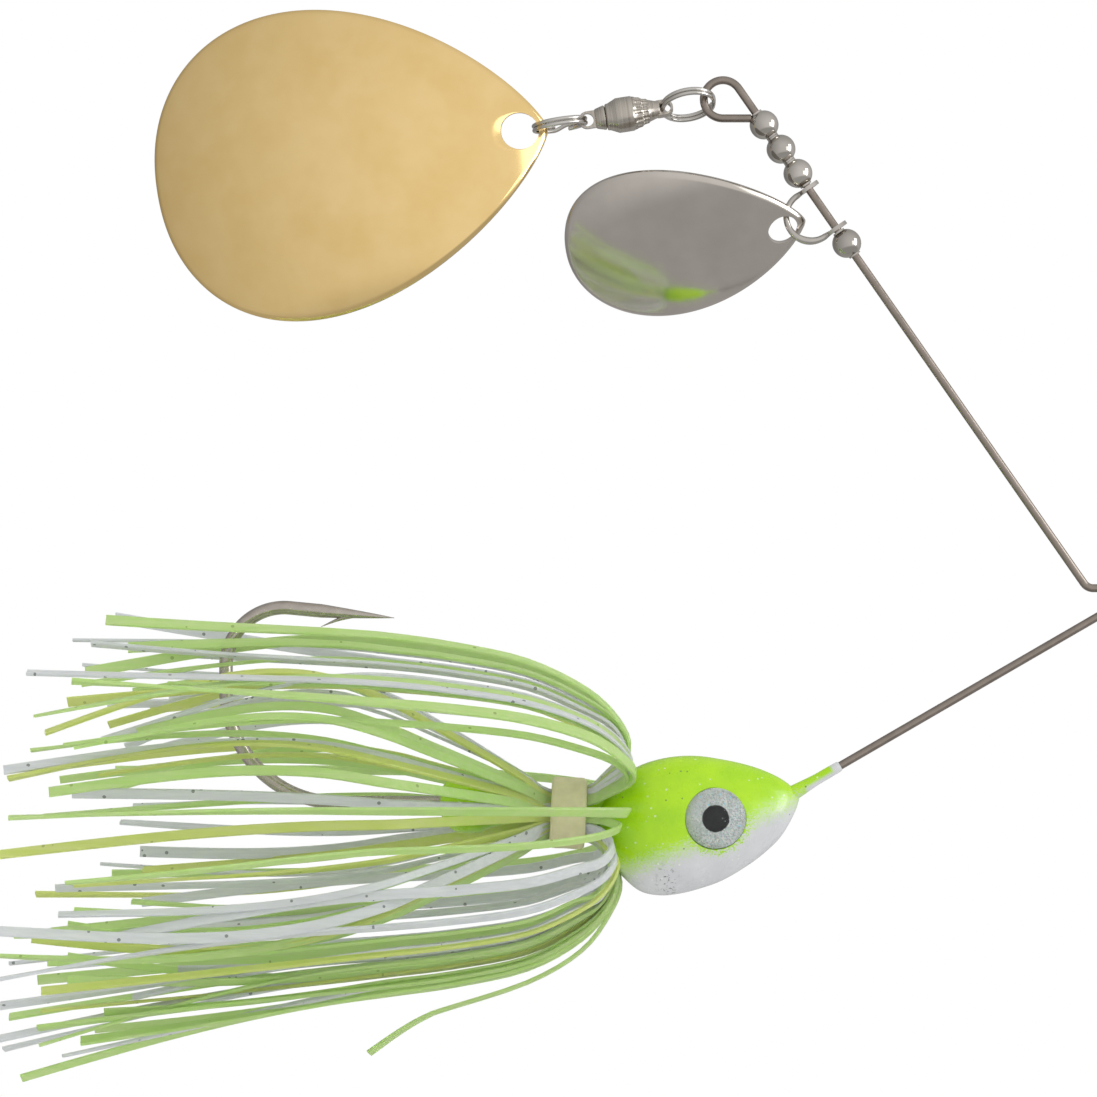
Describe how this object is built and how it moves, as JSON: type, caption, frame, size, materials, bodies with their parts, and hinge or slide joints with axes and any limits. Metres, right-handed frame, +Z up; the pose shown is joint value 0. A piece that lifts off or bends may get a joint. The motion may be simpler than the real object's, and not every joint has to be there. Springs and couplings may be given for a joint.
{
  "type": "spinnerbait",
  "caption": "Fishing spinnerbait: a bent wire with a lead head, hook and strand skirt on one arm, and domed blades on a clevis and a swivel on the other.",
  "frame": {"origin": "inside of the line tie's bend, where the line's knot or snap bears", "axes": "+Z up the line that the lure hangs from; the wire's two arms lie in the XZ plane, with the skirt's arm towards +X"},
  "size_m": [0.1075, 0.0374, 0.127],
  "materials": {
    "wire_steel": "bright drawn stainless wire",
    "head_paint": "gloss powder paint, chartreuse over white",
    "hook_steel": "plated, slightly dark",
    "eye_foil": "holographic glitter foil",
    "eye_dome": "clear epoxy, gloss",
    "collar_rubber": "matt latex",
    "green_silicone": "satin silicone with fine flake",
    "pearl_silicone": "satin silicone with dark flake",
    "lime_silicone": "translucent silicone",
    "bead_nickel": "polished nickel over brass",
    "clevis_nickel": "polished nickel",
    "silver_nickel": "polished nickel plate",
    "gold_plate": "polished gold plate",
    "ring_steel": "polished steel",
    "swivel_steel": "bright turned steel",
    "ball_steel": "polished steel"
  },
  "bodies": {
    "frame": {"wire_form": "wire_steel", "lead_head": "head_paint", "hook": "hook_steel", "near_eye_foil": "eye_foil", "near_eye_dome": "eye_dome", "far_eye_foil": "eye_foil", "far_eye_dome": "eye_dome", "skirt_collar": "collar_rubber", "green_strands": "green_silicone", "pearl_strands": "pearl_silicone", "lime_strands": "lime_silicone"},
    "bead_1": {"bead_1": "bead_nickel"},
    "bead_2": {"bead_2": "bead_nickel"},
    "bead_3": {"bead_3": "bead_nickel"},
    "bead_4": {"bead_4": "bead_nickel"},
    "clevis": {"clevis": "clevis_nickel"},
    "silver_blade": {"silver_blade": "silver_nickel"},
    "loop_ring": {"loop_ring": "ring_steel"},
    "swivel_body": {"swivel_body": "swivel_steel", "swivel_balls": "ball_steel"},
    "swivel_shaft": {"swivel_shaft": "swivel_steel"},
    "blade_ring": {"blade_ring": "ring_steel"},
    "gold_blade": {"gold_blade": "gold_plate"}
  },
  "joints": [
    {"name": "bead_1_spin", "type": "hinge", "parent": "frame", "child": "bead_1", "pos_m": [-0.05702, 0, -0.03043], "axis": [0.8918, 0, 0.4524], "continuous": true},
    {"name": "bead_2_spin", "type": "hinge", "parent": "frame", "child": "bead_2", "pos_m": [-0.05412, 0, -0.02896], "axis": [0.8918, 0, 0.4524], "continuous": true},
    {"name": "bead_3_spin", "type": "hinge", "parent": "frame", "child": "bead_3", "pos_m": [-0.05122, 0, -0.02748], "axis": [0.8918, 0, 0.4524], "continuous": true},
    {"name": "bead_4_slide", "type": "slide", "parent": "frame", "child": "bead_4", "axis": [0.8918, 0, 0.4524], "range_m": [0, 0.04]},
    {"name": "clevis_spin", "type": "hinge", "parent": "frame", "child": "clevis", "pos_m": [-0.04704, 0, -0.02536], "axis": [0.8918, 0, 0.4524], "continuous": true},
    {"name": "silver_blade_swing", "type": "hinge", "parent": "clevis", "child": "silver_blade", "pos_m": [-0.04574, 0, -0.02947], "axis": [0, 1, 0], "range_deg": [-6, 18]},
    {"name": "loop_ring_swing", "type": "hinge", "parent": "frame", "child": "loop_ring", "pos_m": [-0.06044, 0, -0.03451], "axis": [0, 1, 0], "range_deg": [-5, 90]},
    {"name": "swivel_swing", "type": "hinge", "parent": "loop_ring", "child": "swivel_body", "pos_m": [-0.06039, 0, -0.03839], "axis": [-0.9271, 0.3746, -0.0129], "range_deg": [-45, 45]},
    {"name": "swivel_shaft_spin", "type": "hinge", "parent": "swivel_body", "child": "swivel_shaft", "pos_m": [-0.06023, 0, -0.0496], "axis": [-0.014, 0, 0.9999], "continuous": true},
    {"name": "blade_ring_swing", "type": "hinge", "parent": "swivel_shaft", "child": "blade_ring", "pos_m": [-0.06023, 0, -0.04979], "axis": [0, 1, 0], "range_deg": [-10, 45]},
    {"name": "gold_blade_swing", "type": "hinge", "parent": "blade_ring", "child": "gold_blade", "pos_m": [-0.06019, 0, -0.05266], "axis": [0.9999, 0, 0.014], "range_deg": [-45, 45]}
  ]
}
